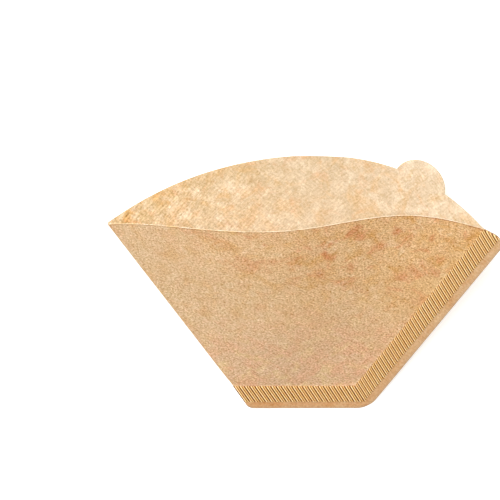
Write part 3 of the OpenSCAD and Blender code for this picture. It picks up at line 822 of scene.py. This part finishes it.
def feltShade(tree, tone, place, shares):
    # the grain layers added up, each a stretched cloud of fibres from -depth to depth, then the curls: paler
    # lines where a distorted cloud crosses its middle height, from curl to -curl over curlShare
    shade = 0.0
    for number, layer in enumerate(tone["grain"]):
        drawn = addNode(tree, "Mapping", {"Vector": place, "Location": (13 * number, 0, 0),
                                          "Rotation": (0, 0, math.radians(layer["turn"])),
                                          "Scale": (layer["stretch"], 1, 1)}, vector_type="TEXTURE")
        fibres = addNode(tree, "TexNoise", {"Vector": drawn, "Scale": 1 / layer["size"], "Detail": 3,
                                            "Roughness": 0.6, "Distortion": 0.3})
        part = addNode(tree, "MapRange", {"Value": fibres, "From Min": 0.25, "From Max": 0.75,
                                          "To Min": -layer["depth"], "To Max": layer["depth"]}, clamp=False)
        where, gather = layer["near"]
        near = addNode(tree, "MapRange", {"Value": shares[where], "To Min": 1 - gather})
        shade = addNode(tree, "Math", {0: part, 1: near, 2: shade}, operation="MULTIPLY_ADD")
    curled = addNode(tree, "TexNoise", {"Vector": place, "Scale": 1 / feltFibres["curl"], "Detail": 3,
                                        "Distortion": 2.0})
    curl = addNode(tree, "Math", {0: curled, 1: 0.5}, operation="SUBTRACT")
    curl = addNode(tree, "Math", {0: curl}, operation="ABSOLUTE")
    curl = addNode(tree, "MapRange", {"Value": curl, "From Max": feltFibres["curlShare"],
                                      "To Min": tone["curl"], "To Max": -tone["curl"]})
    return addNode(tree, "Math", {0: shade, 1: curl}, operation="ADD")


def crimpColourAndShade(tree, place, colour):
    # each tone mixed in by share x rib between its levels x band x stretch, then the rim's by share x rim:
    # painted shade in the grooves, a painted highlight on the ridges and painted shade along the outline,
    # over the paper's own burnished and pale tones
    rib, band, rim = [addNode(tree, "Attribute", {}, output="Fac", attribute_name=mark)
                      for mark in ("rib", "band", "rim")]
    stretch = crimpTones["stretch"]
    cloud = addNode(tree, "TexNoise", {"Vector": place, "Scale": 1 / stretch["size"], "Detail": 2})
    low, high = stretch["levels"]
    pressedAndShaded = addNode(tree, "MapRange", {"Value": cloud, "From Min": low, "From Max": high,
                                         "To Min": stretch["least"]})
    pressedAndShaded = addNode(tree, "Math", {0: pressedAndShaded, 1: band}, operation="MULTIPLY")
    for tone in crimpTones["ribs"]:
        low, high = tone["levels"]
        share = addNode(tree, "MapRange", {"Value": rib, "From Min": low, "From Max": high,
                                           "To Max": tone["share"]})
        share = addNode(tree, "Math", {0: share, 1: pressedAndShaded}, operation="MULTIPLY")
        colour = addNode(tree, "Mix", {0: share, 6: colour, 7: linear(tone["colour"])}, output=2,
                         data_type="RGBA")
    rim = addNode(tree, "Math", {0: rim, 1: crimpTones["rim"]["share"]}, operation="MULTIPLY")
    return addNode(tree, "Mix", {0: rim, 6: colour, 7: linear(crimpTones["rim"]["colour"])}, output=2,
                   data_type="RGBA")


def paperMaterial(tone, p):
    # Creped paper of unbleached softwood fibre. The fibres lie in clouds, which gives the eye pale, orange
    # and rusty patches of 5 to 20 mm, a felt of curly fibres under a millimetre wide, and no gloss. Light
    # comes through the thin wall, which softens its shadows
    material = bpy.data.materials.new(tone["name"])
    material.use_nodes = True
    tree = material.node_tree
    surface = tree.nodes["Principled BSDF"]
    surface.inputs["Roughness"].default_value = 0.88
    surface.inputs["Specular IOR Level"].default_value = 0.08
    surface.inputs["Subsurface Weight"].default_value = 1.0
    surface.inputs["Subsurface Radius"].default_value = (1.0, 1.0, 1.0)
    surface.inputs["Subsurface Scale"].default_value = tone["through"] * mm

    place, shares = placeOnSheet(tree, p)
    colour = cloudedColour(tree, tone, place, shares)
    shade = feltShade(tree, tone, place, shares)
    light = addNode(tree, "VectorMath", {0: shade, 1: tone["hue"], 2: (1, 1, 1)}, operation="MULTIPLY_ADD")
    colour = addNode(tree, "Mix", {0: 1.0, 6: colour, 7: light}, output=2, data_type="RGBA",
                     blend_type="MULTIPLY")
    if tone is paperTones["crimp"]:
        colour = crimpColourAndShade(tree, place, colour)
    tree.links.new(colour, surface.inputs["Base Color"])
    bump = addNode(tree, "Bump", {"Height": shade, "Strength": tone["bump"],
                                  "Distance": feltFibres["deep"] * mm})
    tree.links.new(bump, surface.inputs["Normal"])
    return material


# The floor, its width in metres: a matt pale light table, far larger than the picture, whose glow takes up
# most of the shadow
floorBoard = {"size": 6.0, "colour": "#f4f4f3", "glow": 0.50}


def addFloor(settings):
    # a square of four corners on z = 0
    half = settings["size"] / 2
    mesh = bpy.data.meshes.new("floorBoard")
    corners = [(-half, -half, 0), (half, -half, 0), (half, half, 0), (-half, half, 0)]
    mesh.from_pydata(corners, [], [(0, 1, 2, 3)])
    material = bpy.data.materials.new("matt pale board")
    material.use_nodes = True
    surface = material.node_tree.nodes["Principled BSDF"]
    surface.inputs["Base Color"].default_value = linear(settings["colour"])
    surface.inputs["Roughness"].default_value = 0.9
    surface.inputs["Emission Color"].default_value = linear(settings["colour"])
    surface.inputs["Emission Strength"].default_value = settings["glow"]
    mesh.materials.append(material)
    floor = bpy.data.objects.new("floorBoard", mesh)
    bpy.context.scene.collection.objects.link(floor)


# Where the camera stands: degrees above the floor and round from the mouth's side, millimetres, and the focal
# length in pixels of a picture 500 wide. The aim is a point of the floor, from the bottom edge's middle
pictureView = {"elevation": 63.4, "turn": 2.15, "roll": -0.60, "distance": 2660, "focal": 6738,
               "aim": (-22.8, 70.4)}
pictureWidth = 500


def addCamera(view, shift):
    # away from the aim along (cos e sin t, cos e cos t, sin e), upright along the part of +Y square to that,
    # and turned by the roll. The lens is as long as the sensor is wide x focal / picture width
    e, turn, roll = [math.radians(view[name]) for name in ("elevation", "turn", "roll")]
    away = Vector((math.cos(e) * math.sin(turn), math.cos(e) * math.cos(turn), math.sin(e)))
    upright = Vector((0, 1, 0)) - away * away.y
    upright.normalize()
    right = upright.cross(away)
    right, upright = (right * math.cos(roll) + upright * math.sin(roll),
                      upright * math.cos(roll) - right * math.sin(roll))
    lens = bpy.data.cameras.new("pictureCamera")
    lens.sensor_width = 36
    lens.lens = view["focal"] / pictureWidth * lens.sensor_width
    lens.clip_end = 50
    camera = bpy.data.objects.new("pictureCamera", lens)
    aim = Vector((view["aim"][0] + shift[0], view["aim"][1] + shift[1], 0)) * mm
    camera.matrix_world = Matrix.Translation(aim + away * view["distance"] * mm) @ Matrix(
        (right, upright, away)).transposed().to_4x4()
    bpy.context.scene.collection.objects.link(camera)
    bpy.context.scene.camera = camera


# Soft studio light, in metres and watts: a pale surround, and a large window above the mouth's side that
# shines into the opening
studioLight = {"surround": 0.60, "window": 42.0, "size": 1.2, "place": (-0.35, 1.25, 1.50)}


def addLights(settings):
    # a white surround of even strength, and a round window that faces the origin
    world = bpy.data.worlds.new("paleSurround")
    world.use_nodes = True
    world.node_tree.nodes["Background"].inputs["Color"].default_value = (1, 1, 1, 1)
    world.node_tree.nodes["Background"].inputs["Strength"].default_value = settings["surround"]
    bpy.context.scene.world = world
    light = bpy.data.lights.new("softWindow", "AREA")
    light.shape = "DISK"
    light.size = settings["size"]
    light.energy = settings["window"]
    window = bpy.data.objects.new("softWindow", light)
    window.location = settings["place"]
    window.rotation_euler = (-window.location).to_track_quat("-Z", "Y").to_euler()
    bpy.context.scene.collection.objects.link(window)
    bpy.context.scene.view_settings.view_transform = "Standard"


sheet = filterSheet(filterPaper)
print("paper worked out:", sheet.count, "points")
# the frame's box starts at the bottom edge, at the fold's tip and a layer under the strip's inner line
shift = np.array(cadBox[0]) / mm - [sheet.f.foldTip, 0, -filterPaper["paperT"]]
finishes = [paperMaterial(paperTones[slot], filterPaper) for slot in finishSlots]
paper = buildPiece("openedFilterPaper", sheet, shift, filterPaper["sharpAngle"], finishes)
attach(paper, "root")
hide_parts("filter_paper")
print("paper built:", len(paper.data.polygons), "triangles")
addFloor(floorBoard)
addCamera(pictureView, shift)
addLights(studioLight)
print("camera and light placed")
